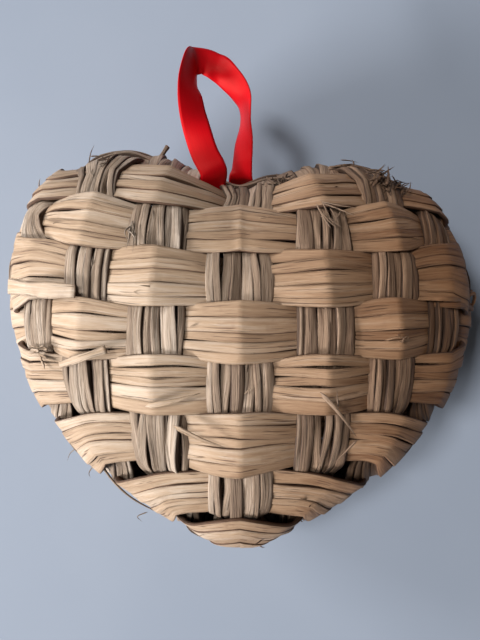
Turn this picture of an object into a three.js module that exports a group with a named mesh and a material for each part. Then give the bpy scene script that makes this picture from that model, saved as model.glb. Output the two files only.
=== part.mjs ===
// A puffed heart woven from bundles of dried leaf strips, with a ribbon loop to hang it by.
// Millimetres. The heart lies on its back: +Z points out of its front face and +Y towards its notch.
// Eight wefts run across it and seven warps run up and down it. Each is a closed hoop round front and back,
// and one edge band follows the outline. They pass over and under each other in a plain weave.
import * as THREE from 'three';

// The form under the weave
const FRONT_DEPTH = 42;
const BACK_DEPTH = 38;
const FRONT_FULLNESS = 2.1;
const BACK_FULLNESS = 2.6;
// Right half of the outline: degrees from +X, and the radius from the heart's middle
const OUTLINE = [
  [-90, 74.5], [-60, 69], [-35, 73], [-12, 79.5], [10, 87.5],
  [33, 91.5], [48, 88], [62, 80.5], [76, 68], [90, 60],
];
// The left lobe stands a little higher than the right one
const LOBE_SKEW = 1.2e-5;
// and the right side is a little fuller than the left one
const SIDE_LEAN = 0.012;
// and the left shoulder bulges: its place in degrees from +X, its spread in degrees, and how far out it stands
const SHOULDER_BULGE = { at: 150, spread: 20, out: 4 };

// The weave
const ROW_Y = [52, 39.2, 23, 6, -11, -30, -49, -65];
const ROW_LIFT = [15, 5.5, 4, 2, 1, -1, -4, 0];
const LIFT_AT_X = 70;
const COLUMN_X = [-71.5, -51.8, -27.8, 0, 27.8, 51.8, 71.5];
const MIDDLE = 3;
const COLUMN_BOW = 0.06;
const BOW_CENTRE_Y = 10;
const BOW_REACH = 60;
// The middle warp leans to the right where it comes out of the notch, the first one follows the shoulder,
// and the first weft bends down round both lobes
const SHIFTS = [
  { column: MIDDLE, row: 0, x: 3, y: 0 }, { column: 0, row: 1, x: -6, y: 0 },
  { column: 0, row: 0, x: 0.4, y: -11.3 }, { column: 6, row: 0, x: -0.4, y: -11.3 },
];
// First and last row that each column crosses on a face
const COLUMN_ROWS = [[0, 4], [0, 5], [0, 6], [0, 7], [0, 6], [0, 5], [0, 4]];
// Where the hoops pass over the edge: degrees from +X on the right half
const ROW_RIM = [36.5, 27.5, 16.3, 5.2, -7.1, -31.5, -58.5, -80.5];
const COLUMN_RIM_TOP = [42, 54.8, 69.3, 87.5];
const COLUMN_RIM_FOOT = [-19.5, -45, -70.5, -90];

// The bundles
// Height of a centre line off the form where it passes over, and where it passes under
const WAVE = { weft: [3.8, 2.5], warp: [3, 2.8], edge: [2.9, 2.9] };
const HALF_THICKNESS = { weft: 1.65, warp: 1.7, edge: 1.4 };
const WIDTH_CAP = { weft: 10.4, warp: 10.2, edge: 7.2 };
// Half-width as a share of the distance to the next bundle:
// passing over, passing under, and the same two at the edge
const WIDTH_SHARE = {
  weft: [0.51, 0.34, 0.4, 0.36],
  warp: [0.37, 0.34, 0.4, 0.36],
  edge: [0.31, 0.27, 0.31, 0.27],
};
// Share of its width that a bundle loses where it would cross another lengthwise
const SLANT_LOSS = 0.4;
// and the most it can have as a share of the way to its own next crossing
const TURN_SHARE = 0.42;
// Share of the way to the edge that two hoops keep their heights for, while they part
const SWAP_DELAY = 0.3;
// Share of the width that is flat on top
const SHOULDER = 0.5;
const STATION_SPACING = 8.5;
const FEWEST_STATIONS = 3;
// Steps of the fine line that the stations are measured on
const FINE_STEPS = 24;

// Resting spot: the back is pressed flat this far under its highest crossing
const PRESS = 1.7;
const REST = BACK_DEPTH + WAVE.weft[0] + HALF_THICKNESS.weft - PRESS;

// The ribbon: points of its centre line, and the way across it from its outer edge to its inner edge.
// It comes out beside the notch on the left, turns over at the top and goes down behind the notch.
const RIBBON_WIDTH = 10;
const RIBBON_THICKNESS = 0.6;
const RIBBON_STATIONS = 46;
const RIBBON = [
  [[-11, 56.5, 10], [0.97, 0.2, 0]],
  [[-10.2, 60, 15.5], [0.95, 0.3, 0]],
  [[-9.6, 64.1, 20.5], [0.92, 0.38, 0]],
  [[-12.8, 70.5, 21], [0.95, 0.33, 0]],
  [[-15.2, 77.6, 21.5], [0.95, 0.3, 0]],
  [[-17.1, 85.1, 21.5], [0.92, 0.16, -0.34]],
  [[-18, 91.2, 21], [0.85, 0.11, -0.52]],
  [[-18.7, 97.7, 20], [0.58, 0, -0.81]],
  [[-17.9, 105.4, 17], [0.24, -0.86, -0.46]],
  [[-16.4, 108.1, 13.5], [0.12, -0.99, 0]],
  [[-13.3, 108.4, 12], [0, -1, 0]],
  [[-10, 106.9, 12], [-0.22, -0.97, 0]],
  [[-7, 104.9, 12.3], [-0.38, -0.86, -0.35]],
  [[-4.3, 102, 12.5], [-0.47, -0.65, -0.59]],
  [[-1.1, 98.4, 12], [-0.48, -0.48, -0.74]],
  [[1.1, 94.5, 11], [-0.41, -0.32, -0.85]],
  [[1.9, 90.6, 10], [-0.37, -0.03, -0.93]],
  [[1.9, 86, 9], [-0.39, 0, -0.92]],
  [[1.7, 81.2, 8], [-0.58, 0, -0.81]],
  [[1.2, 76.5, 6.5], [-0.7, 0, -0.72]],
  [[0.8, 71.8, 5], [-0.73, 0, -0.69]],
  [[0.5, 67.2, 2.5], [-0.8, 0, -0.6]],
  [[0.4, 65.6, -2], [-0.95, 0, -0.3]],
  [[0.3, 65, -7.5], [-1, 0, 0]],
];

// Exactness of the nearest points on the form
const SETTLE_STEPS = 4;
const SLOPE_STEP = 0.01;

const rad = THREE.MathUtils.degToRad;
const deg = THREE.MathUtils.radToDeg;
const xyz = (x, y, z) => new THREE.Vector3(x, y, z);

// Radius of the outline at an angle, by a smooth cubic through OUTLINE and its mirror image
function outlineRadius(angle) {
  const degrees = deg(Math.atan2(Math.sin(angle), Math.abs(Math.cos(angle))));
  const last = OUTLINE.length - 1;
  const at = (k) => {
    if (k < 0) return [-180 - OUTLINE[-k][0], OUTLINE[-k][1]];
    if (k > last) return [180 - OUTLINE[2 * last - k][0], OUTLINE[2 * last - k][1]];
    return OUTLINE[k];
  };
  let k = 0;
  while (k < last - 1 && degrees > OUTLINE[k + 1][0]) k += 1;
  const [a, b, c, d] = [at(k - 1), at(k), at(k + 1), at(k + 2)];
  const span = c[0] - b[0];
  const t = (degrees - b[0]) / span;
  const slopeB = ((c[1] - a[1]) / (c[0] - a[0])) * span;
  const slopeC = ((d[1] - b[1]) / (d[0] - b[0])) * span;
  const t2 = t * t;
  const t3 = t2 * t;
  const half = (2 * t3 - 3 * t2 + 1) * b[1] + (t3 - 2 * t2 + t) * slopeB
    + (3 * t2 - 2 * t3) * c[1] + (t3 - t2) * slopeC;
  const whole = deg(Math.atan2(Math.sin(angle), Math.cos(angle)));
  const fromBulge = (whole - SHOULDER_BULGE.at) / SHOULDER_BULGE.spread;
  return half * (1 + SIDE_LEAN * Math.cos(angle)) + SHOULDER_BULGE.out * Math.exp(-fromBulge * fromBulge);
}

// Share of the outline's radius at a place in plan, raised to the face's fullness
function reach(x, y, side) {
  const fullness = side < 0 ? BACK_FULLNESS : FRONT_FULLNESS;
  return (Math.hypot(x, y) / outlineRadius(Math.atan2(y, x))) ** fullness;
}

// Point of the form's front (side 1) or back (side -1) above a place in plan
function onFace(x, y, side) {
  const depth = side < 0 ? BACK_DEPTH : FRONT_DEPTH;
  return xyz(x, y, side * depth * Math.sqrt(Math.max(0, 1 - reach(x, y, side))));
}

// Below 0 inside the form, 0 on it
function formValue(p) {
  const depth = p.z < 0 ? BACK_DEPTH : FRONT_DEPTH;
  return reach(p.x, p.y, p.z < 0 ? -1 : 1) + (p.z / depth) ** 2 - 1;
}

function formGradient(p) {
  const slope = (x, y, z) => {
    const step = xyz(x, y, z).multiplyScalar(SLOPE_STEP);
    return (formValue(p.clone().add(step)) - formValue(p.clone().sub(step))) / (2 * SLOPE_STEP);
  };
  return xyz(slope(1, 0, 0), slope(0, 1, 0), slope(0, 0, 1));
}

// The nearest point of the form, and its outward normal
function settle(p) {
  const q = p.clone();
  for (let step = 0; step < SETTLE_STEPS; step += 1) {
    const g = formGradient(q);
    q.addScaledVector(g, -formValue(q) / g.lengthSq());
  }
  return { point: q, normal: formGradient(q).normalize() };
}

function rimPoint(degrees, mirrored) {
  const angle = rad(mirrored ? 180 - degrees : degrees);
  const r = outlineRadius(angle);
  return xyz(r * Math.cos(angle), r * Math.sin(angle), 0);
}

// Plan place where a row and a column cross
function crossing(column, row) {
  const bow = 1 - COLUMN_BOW * ((ROW_Y[row] - BOW_CENTRE_Y) / BOW_REACH) ** 2;
  const shift = SHIFTS.find((one) => one.column === column && one.row === row);
  const x = COLUMN_X[column] * bow + (shift ? shift.x : 0);
  return [x, ROW_Y[row] + ROW_LIFT[row] * (x / LIFT_AT_X) ** 2 + (shift ? shift.y : 0)];
}

const crossed = (column, row) => row >= COLUMN_ROWS[column][0] && row <= COLUMN_ROWS[column][1];
// 1 where the weft is over the warp, -1 where it is under
const weftSign = (column, row) => ((column + row) % 2 === 0 ? 1 : -1);

// One hoop's crossings in order: across the front, over the edge, and back across the back.
// A knot names the crossing, its point, and whether this hoop is over (1) or under (-1) there.
function facesAndRims(name, firstRim, places, lastRim, signOf, idOf) {
  const front = places.map((place) => ({
    id: idOf(place, 'front'), point: onFace(...place.plan, 1), sign: signOf(place),
  }));
  const back = places.map((place) => ({
    id: idOf(place, 'back'), point: onFace(...place.plan, -1), sign: signOf(place),
  })).reverse();
  const edge = (point, end, place) => ({ id: `${name}-${end}`, point, sign: -signOf(place), rim: true });
  const line = new THREE.CatmullRomCurve3(
    [firstRim, ...places.map((place) => xyz(...place.plan, 0)), lastRim], false, 'centripetal');
  const start = edge(firstRim, 'start', places[0]);
  const end = edge(lastRim, 'end', places[places.length - 1]);
  return { name, line, knots: [start, ...front, end, ...back] };
}

function weftHoop(row) {
  const places = COLUMN_X.map((_, column) => column).filter((column) => crossed(column, row))
    .map((column) => ({ column, plan: crossing(column, row) }));
  return {
    kind: 'weft',
    ...facesAndRims(`weft_${row + 1}`, rimPoint(ROW_RIM[row], true), places, rimPoint(ROW_RIM[row], false),
      (place) => weftSign(place.column, row), (place, side) => `${place.column}.${row}.${side}`),
  };
}

function warpHoop(column) {
  const left = column < MIDDLE;
  const k = MIDDLE - Math.abs(column - MIDDLE);
  const places = ROW_Y.map((_, row) => row).filter((row) => crossed(column, row))
    .map((row) => ({ row, plan: crossing(column, row) }));
  return {
    kind: 'warp',
    ...facesAndRims(`warp_${column + 1}`, rimPoint(COLUMN_RIM_TOP[k], left), places,
      rimPoint(COLUMN_RIM_FOOT[k], left), (place) => -weftSign(column, place.row),
      (place, side) => `${column}.${place.row}.${side}`),
  };
}

// The edge band crosses every hoop once at each place where that hoop passes over the edge
function edgeHoop(hoops) {
  const angleOf = (p) => Math.atan2(p.y, p.x);
  const knots = hoops.flatMap((hoop) => hoop.knots.filter((knot) => knot.rim))
    .map((knot) => ({ ...knot, sign: -knot.sign }))
    .sort((a, b) => angleOf(a.point) - angleOf(b.point));
  return { kind: 'edge', name: 'edge_band', knots };
}

// Half-width of a hoop at each of its knots, from how far off the neighbours on the crossing hoop are
function setWidths(hoops) {
  const passes = new Map();
  hoops.forEach((hoop) => hoop.knots.forEach((knot, k) => {
    const n = hoop.knots.length;
    const before = hoop.knots[(k + n - 1) % n].point;
    const after = hoop.knots[(k + 1) % n].point;
    const gap = Math.min(knot.point.distanceTo(before), knot.point.distanceTo(after));
    const pass = { hoop, gap, direction: after.clone().sub(before).normalize() };
    passes.set(knot.id, [...(passes.get(knot.id) ?? []), pass]);
  }));
  hoops.forEach((hoop) => hoop.knots.forEach((knot) => {
    const [own, other] = passes.get(knot.id).sort((a) => (a.hoop === hoop ? -1 : 1));
    const share = WIDTH_SHARE[hoop.kind][(knot.rim ? 2 : 0) + (knot.sign > 0 ? 0 : 1)];
    const slant = 1 - SLANT_LOSS * Math.abs(own.direction.dot(other.direction));
    knot.halfWidth = Math.min(WIDTH_CAP[hoop.kind], share * other.gap, TURN_SHARE * own.gap) * slant;
  }));
}

// Whether the way from one knot to the next is on the back
const onBack = (hoop, k) => hoop.kind !== 'edge' && k >= hoop.line.points.length - 1;

// Fine points of a hoop's centre line on the form between two of its knots
function finePoints(hoop, k) {
  const from = hoop.knots[k];
  const to = hoop.knots[(k + 1) % hoop.knots.length];
  const shares = Array.from({ length: FINE_STEPS + 1 }, (_, i) => i / FINE_STEPS);
  if (hoop.kind === 'edge') {
    const start = Math.atan2(from.point.y, from.point.x);
    const turn = Math.atan2(to.point.y, to.point.x) - start;
    const whole = turn > 0 ? turn : turn + 2 * Math.PI;
    return shares.map((share) => {
      const angle = start + whole * share;
      const r = outlineRadius(angle);
      return xyz(r * Math.cos(angle), r * Math.sin(angle), 0);
    });
  }
  const spans = hoop.line.points.length - 1;
  const position = (i) => (i <= spans ? i : 2 * spans - i);
  const [a, b] = [position(k), position(k + 1)];
  return shares.map((share) => {
    let eased = share;
    if (from.rim) eased = share * share;
    if (to.rim) eased = 1 - (1 - share) ** 2;
    const place = hoop.line.getPoint((a + (b - a) * eased) / spans);
    return onFace(place.x, place.y, onBack(hoop, k) ? -1 : 1);
  });
}

const waveAt = (kind, knot) => (knot.sign > 0 ? WAVE[kind][0] : -WAVE[kind][1]);
const ease = (share) => (1 - Math.cos(Math.PI * THREE.MathUtils.clamp(share, 0, 1))) / 2;

// A creased hoop is folded where it passes over, so its height falls straight away from there.
// Towards the edge two hoops part before they swap height, and draw in before they part.
function swap(share, from, to, creased) {
  if (from.rim && !to.rim) return ease(share / (1 - SWAP_DELAY));
  if (to.rim && !from.rim) return ease((share - SWAP_DELAY) / (1 - SWAP_DELAY));
  if (!creased) return ease(share);
  return from.sign > 0 ? Math.sin((Math.PI / 2) * share) : 1 - Math.cos((Math.PI / 2) * share);
}

function narrow(share, from, to) {
  if (from.rim && !to.rim) return share ** 2;
  if (to.rim && !from.rim) return 1 - (1 - share) ** 2;
  return ease(share);
}

// Stations along a hoop, evenly spaced between knots, with the wave of the weave and the width at each
function stationsOf(hoop) {
  const stations = [];
  hoop.knots.forEach((from, k) => {
    const to = hoop.knots[(k + 1) % hoop.knots.length];
    const fine = finePoints(hoop, k);
    // The back is pressed smooth and flat, so the wefts are creased on the front alone
    const creased = hoop.kind === 'weft' && !onBack(hoop, k);
    const along = [0];
    for (let i = 1; i < fine.length; i += 1) along.push(along[i - 1] + fine[i].distanceTo(fine[i - 1]));
    const total = along[along.length - 1];
    const count = Math.max(FEWEST_STATIONS, Math.round(total / STATION_SPACING));
    for (let i = 0; i < count; i += 1) {
      const share = i / count;
      let j = 0;
      while (j < fine.length - 2 && along[j + 1] < share * total) j += 1;
      const t = (share * total - along[j]) / (along[j + 1] - along[j]);
      stations.push({
        point: fine[j].clone().lerp(fine[j + 1], t),
        height: THREE.MathUtils.lerp(waveAt(hoop.kind, from), waveAt(hoop.kind, to),
          swap(share, from, to, creased)),
        halfWidth: THREE.MathUtils.lerp(from.halfWidth, to.halfWidth, narrow(share, from, to)),
      });
    }
  });
  return stations;
}

// The finishing moves that every point gets: the uneven lobes, and the back pressed flat
function finished(p) {
  const y = Math.max(0, p.y);
  return xyz(p.x, p.y - LOBE_SKEW * p.x * y * y, Math.max(p.z, -REST));
}

// A closed or open solid through rings of points that all have the same count
function sweep(rings, closed) {
  const sides = rings[0].length;
  const positions = rings.flat().flatMap((p) => [p.x, p.y, p.z]);
  const index = [];
  const last = closed ? rings.length : rings.length - 1;
  for (let i = 0; i < last; i += 1) {
    const here = i * sides;
    const next = ((i + 1) % rings.length) * sides;
    for (let j = 0; j < sides; j += 1) {
      const k = (j + 1) % sides;
      index.push(here + j, here + k, next + k, here + j, next + k, next + j);
    }
  }
  if (!closed) {
    const end = (rings.length - 1) * sides;
    for (let j = 1; j < sides - 1; j += 1) index.push(0, j + 1, j, end, end + j, end + j + 1);
  }
  const geometry = new THREE.BufferGeometry();
  geometry.setAttribute('position', new THREE.Float32BufferAttribute(positions, 3));
  geometry.setIndex(index);
  geometry.computeVertexNormals();
  return geometry;
}

// A bundle's lens-shaped section carried along its hoop, settled on the form right across its width
function bundle(hoop) {
  const stations = stationsOf(hoop);
  const half = HALF_THICKNESS[hoop.kind];
  const section = [[-1, 0], [-SHOULDER, -1], [SHOULDER, -1], [1, 0], [SHOULDER, 1], [-SHOULDER, 1]];
  const rings = stations.map((station, i) => {
    const before = stations[(i + stations.length - 1) % stations.length].point;
    const after = stations[(i + 1) % stations.length].point;
    const forward = after.clone().sub(before).normalize();
    const across = settle(station.point).normal.cross(forward).normalize();
    return section.map(([side, up]) => {
      const foot = settle(station.point.clone().addScaledVector(across, side * station.halfWidth));
      return finished(foot.point.addScaledVector(foot.normal, station.height + up * half));
    });
  });
  return sweep(rings, true);
}

// The ribbon's flat section carried along its centre line, its width square to that line
function ribbonLoop() {
  const line = new THREE.CatmullRomCurve3(RIBBON.map(([centre]) => xyz(...centre)), false, 'catmullrom', 0.5);
  const ways = new THREE.CatmullRomCurve3(RIBBON.map(([, way]) => xyz(...way)), false, 'catmullrom', 0.5);
  const corners = [[-1, -1], [1, -1], [1, 1], [-1, 1]];
  const rings = Array.from({ length: RIBBON_STATIONS + 1 }, (_, i) => {
    const t = i / RIBBON_STATIONS;
    const forward = line.getTangent(t);
    const way = ways.getPoint(t);
    const across = way.addScaledVector(forward, -way.dot(forward)).normalize();
    const face = forward.clone().cross(across);
    return corners.map(([side, out]) => line.getPoint(t)
      .addScaledVector(across, (side * RIBBON_WIDTH) / 2)
      .addScaledVector(face, (out * RIBBON_THICKNESS) / 2));
  });
  return sweep(rings, false);
}

const COLOURS = { weft: 0xcfae82, warp: 0xb99a70, edge: 0xb08d62, ribbon: 0xb8141a };
const straw = (kind) => new THREE.MeshStandardMaterial({
  color: COLOURS[kind], roughness: 0.75, metalness: 0, flatShading: true,
});

function named(name, geometry, material) {
  const mesh = new THREE.Mesh(geometry, material);
  mesh.name = name;
  return mesh;
}

const faceHoops = [
  ...ROW_Y.map((_, row) => weftHoop(row)),
  ...COLUMN_X.map((_, column) => warpHoop(column)),
];
const hoops = [...faceHoops, edgeHoop(faceHoops)];
setWidths(hoops);

const heart = new THREE.Group();
hoops.forEach((hoop) => heart.add(named(hoop.name, bundle(hoop), straw(hoop.kind))));
heart.add(named('ribbon_loop', ribbonLoop(), new THREE.MeshStandardMaterial({
  color: COLOURS.ribbon, roughness: 0.35, metalness: 0,
})));
// The origin is in the middle of the flat resting spot, under the middle crossing
heart.position.set(0, -ROW_Y[MIDDLE], REST);

const part = new THREE.Group();
part.add(heart);
export default part;
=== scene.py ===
"""Looks of a puffed heart woven from dry leaf strips, with a red ribbon loop at its notch.

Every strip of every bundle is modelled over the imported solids, in their frame: +Z out of the front face,
+Y towards the notch. The weave is worked out in millimetres about the middle of the heart, and every mesh
ends in metres.
"""

from __future__ import annotations

import logging
import math
from dataclasses import dataclass, field
from enum import Enum

import bmesh
import bpy
import numpy as np
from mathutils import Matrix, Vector


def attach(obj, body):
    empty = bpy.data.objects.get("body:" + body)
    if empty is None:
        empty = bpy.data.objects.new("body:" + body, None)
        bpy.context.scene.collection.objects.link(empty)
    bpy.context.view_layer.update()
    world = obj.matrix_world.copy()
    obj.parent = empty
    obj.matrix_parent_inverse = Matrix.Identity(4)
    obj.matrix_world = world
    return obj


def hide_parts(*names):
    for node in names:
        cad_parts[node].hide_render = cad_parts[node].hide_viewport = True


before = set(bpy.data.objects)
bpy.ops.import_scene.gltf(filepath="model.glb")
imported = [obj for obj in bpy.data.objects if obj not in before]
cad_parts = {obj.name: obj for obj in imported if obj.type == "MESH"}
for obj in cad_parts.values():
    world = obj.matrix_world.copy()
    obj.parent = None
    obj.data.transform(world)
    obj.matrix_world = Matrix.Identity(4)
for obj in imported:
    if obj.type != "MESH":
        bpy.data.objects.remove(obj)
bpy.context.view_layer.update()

LOG = logging.getLogger("woven_heart")
MM = 0.001
TINY = 1e-12
ROOT = "root"

Array = np.ndarray
Pair = tuple[float, float]
Triple = tuple[float, float, float]


class Bundle(Enum):
    """The three kinds of bundle in the weave."""

    WEFT = "weft"
    WARP = "warp"
    EDGE = "edge"


@dataclass(frozen=True)
class HeartForm:
    """The puffed heart that the weave lies on, in millimetres about its middle."""

    front_depth: float = 42.0
    back_depth: float = 38.0
    front_fullness: float = 2.1
    back_fullness: float = 2.6
    outline: tuple[Pair, ...] = (
        (-90, 74.5), (-60, 69), (-35, 73), (-12, 79.5), (10, 87.5),
        (33, 91.5), (48, 88), (62, 80.5), (76, 68), (90, 60),
    )
    side_lean: float = 0.012
    bulge_at: float = 150.0
    bulge_spread: float = 20.0
    bulge_out: float = 4.0
    lobe_skew: float = 1.2e-5
    settle_steps: int = 4
    probe: float = 0.01

    def radius(self, angle: Array) -> Array:
        """Radius of the outline, by a smooth cubic through its points and their mirror image.

        Args:
            angle: directions in radians from +X.

        Returns:
            The radius in each direction.
        """
        half = list(self.outline)
        below = [(-180 - a, r) for a, r in reversed(half[1:])]
        above = [(180 - a, r) for a, r in reversed(half[:-1])]
        knots = np.array(below[-1:] + half + above[:1], dtype=float)
        degrees = np.degrees(np.arctan2(np.sin(angle), np.abs(np.cos(angle))))
        k = np.clip(np.searchsorted(knots[:, 0], degrees, side="right") - 1, 1, len(knots) - 3)
        a, b, c, d = knots[k - 1], knots[k], knots[k + 1], knots[k + 2]
        span = c[:, 0] - b[:, 0]
        t = (degrees - b[:, 0]) / span
        slope_b = (c[:, 1] - a[:, 1]) / (c[:, 0] - a[:, 0]) * span
        slope_c = (d[:, 1] - b[:, 1]) / (d[:, 0] - b[:, 0]) * span
        radius = cubic(t, b[:, 1], slope_b, c[:, 1], slope_c)
        off = (np.degrees(np.arctan2(np.sin(angle), np.cos(angle))) - self.bulge_at) / self.bulge_spread
        return radius * (1 + self.side_lean * np.cos(angle)) + self.bulge_out * np.exp(-off * off)

    def reach(self, x: Array, y: Array, back: Array) -> Array:
        """Share of the outline's radius at a place in plan, raised to the face's fullness.

        Args:
            x: places along X.
            y: places along Y.
            back: true where the back face is meant.

        Returns:
            0 in the middle, 1 on the outline.
        """
        power = np.where(back, self.back_fullness, self.front_fullness)
        return (np.hypot(x, y) / self.radius(np.arctan2(y, x))) ** power

    def on_face(self, x: Array, y: Array, back: bool) -> Array:
        """Points of the front or the back above places in plan.

        Args:
            x: places along X.
            y: places along Y.
            back: the back face instead of the front one.

        Returns:
            One point a row.
        """
        backs = np.full(np.shape(x), back)
        rise = np.sqrt(np.maximum(0.0, 1 - self.reach(x, y, backs)))
        return np.stack([x, y, rise * (-self.back_depth if back else self.front_depth)], axis=-1)

    def value(self, p: Array) -> Array:
        """Where points lie to the form.

        Args:
            p: the points, one a row.

        Returns:
            Below 0 inside the form, 0 on it.
        """
        back = p[:, 2] < 0
        depth = np.where(back, self.back_depth, self.front_depth)
        return self.reach(p[:, 0], p[:, 1], back) + (p[:, 2] / depth) ** 2 - 1

    def gradient(self, p: Array) -> Array:
        """Slope of the form's value at points, one row each."""
        steps = np.eye(3) * self.probe
        return np.stack([self.value(p + s) - self.value(p - s) for s in steps], axis=-1) / (2 * self.probe)

    def settle(self, p: Array) -> tuple[Array, Array]:
        """The nearest points of the form.

        Args:
            p: points near the form, one a row.

        Returns:
            The points on it, and the outward normals there.
        """
        q = p.copy()
        for _ in range(self.settle_steps):
            g = self.gradient(q)
            q -= g * (self.value(q) / np.sum(g * g, axis=1))[:, None]
        return q, unit(self.gradient(q))


def unit(v: Array) -> Array:
    """Rows scaled to length 1."""
    return v / np.maximum(TINY, np.linalg.norm(v, axis=-1, keepdims=True))


def closed(run: Array) -> Array:
    """A run with its first entry again at its end."""
    return np.concatenate([run, run[:1]])


def ease(share: Array | float) -> Array | float:
    """Smooth step from 0 to 1 along a cosine."""
    return (1 - np.cos(np.pi * np.clip(share, 0, 1))) / 2


def cubic(t: Array, a: Array, slope_a: Array, b: Array, slope_b: Array) -> Array:
    """A cubic from a at t 0 to b at t 1, with a slope at each."""
    t2, t3 = t * t, t * t * t
    return ((2 * t3 - 3 * t2 + 1) * a + (t3 - 2 * t2 + t) * slope_a
            + (3 * t2 - 2 * t3) * b + (t3 - t2) * slope_b)


def curve(points: Array, places: Array, even: bool = False) -> Array:
    """A smooth line through points, read at places where whole numbers are the points.

    Args:
        points: the points, one a row.
        places: where to read it.
        even: true for plain slopes, false for slopes that keep the line from looping at tight places.

    Returns:
        One point a row.
    """
    ends = np.vstack([2 * points[0] - points[1], points, 2 * points[-1] - points[-2]])
    k = np.clip(np.floor(places).astype(int), 0, len(points) - 2)
    p0, p1, p2, p3 = (ends[k + step] for step in range(4))
    if even:
        slope_a, slope_b = (p2 - p0) / 2, (p3 - p1) / 2
    else:
        d0, d1, d2 = (np.maximum(TINY, np.linalg.norm(b - a, axis=1, keepdims=True)) ** 0.5
                      for a, b in ((p0, p1), (p1, p2), (p2, p3)))
        slope_a = ((p1 - p0) / d0 - (p2 - p0) / (d0 + d1) + (p2 - p1) / d1) * d1
        slope_b = ((p2 - p1) / d1 - (p3 - p1) / (d1 + d2) + (p3 - p2) / d2) * d1
    return cubic((places - k)[:, None], p1, slope_a, p2, slope_b)


def section(phi: Array, squareness: float) -> tuple[Array, Array]:
    """X and Y of a section of half-size 1, round where squareness is 1 and boxier below that."""
    return tuple(np.sign(v) * np.abs(v) ** squareness for v in (np.cos(phi), np.sin(phi)))


def linked(name: str, data: bpy.types.ID) -> bpy.types.Object:
    """A new object in the scene that shows the given data.

    Args:
        name: its name.
        data: its mesh, camera or light.

    Returns:
        The object.
    """
    made = bpy.data.objects.new(name, data)
    bpy.context.collection.objects.link(made)
    return made


def new_mesh() -> bmesh.types.BMesh:
    """Starts a mesh.

    Returns:
        The empty mesh, with room for the places of its texture.
    """
    bm = bmesh.new()
    bm.loops.layers.uv.new("UVMap")
    return bm


def new_piece(bm: bmesh.types.BMesh, name: str) -> bpy.types.Object:
    """Ends work on a mesh and puts it in the scene.

    Args:
        bm: the mesh under construction.
        name: its name.

    Returns:
        The object.
    """
    mesh = bpy.data.meshes.new(name)
    bm.normal_update()
    bm.to_mesh(mesh)
    bm.free()
    mesh.shade_smooth()
    return linked(name, mesh)


def lay_grid(bm: bmesh.types.BMesh, points: Array) -> list[bmesh.types.BMVert]:
    """Adds a sheet of faces with a grid of points as its corners.

    Args:
        bm: the mesh under construction.
        points: the corners, row by row.

    Returns:
        The mesh's new corners.
    """
    rows, columns = points.shape[0] - 1, points.shape[1] - 1
    made = bmesh.ops.create_grid(bm, x_segments=rows, y_segments=columns, size=1, calc_uvs=True)
    for vert in made["verts"]:
        vert.co = points[round((vert.co.x + 1) / 2 * rows), round((vert.co.y + 1) / 2 * columns)]
    return made["verts"]


@dataclass
class Knot:
    """One place where a hoop crosses another one."""

    ident: str
    point: Array
    sign: int
    rim: bool = False
    half_width: float = 0.0


@dataclass
class Hoop:
    """One bundle's closed way round the heart, from crossing to crossing."""

    kind: Bundle
    name: str
    knots: list[Knot]
    plan: Array | None = None


@dataclass(frozen=True)
class Lay:
    """How one kind of bundle lies, where it passes over others and where it passes under them."""

    widest: float
    # Half-width as a share of the room on a face and at the rim, and millimetres above and below the form.
    face_share: Pair
    rim_share: Pair
    wave: Pair
    # The share of a drop that is a straight slope, and the place where it dives.
    fall: Pair


LAYS: dict[Bundle, Lay] = {
    Bundle.WEFT: Lay(11.0, face_share=(0.57, 0.48), rim_share=(0.95, 0.9), wave=(4.2, 1.8), fall=(0.9, 0.5)),
    Bundle.WARP: Lay(10.6, face_share=(0.385, 0.36), rim_share=(0.75, 0.7), wave=(2, 3), fall=(0.15, 0.35)),
    Bundle.EDGE: Lay(11.0, face_share=(0.8, 0.7), rim_share=(0.8, 0.7), wave=(2.2, 2.4), fall=(0.2, 0.2)),
}


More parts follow.
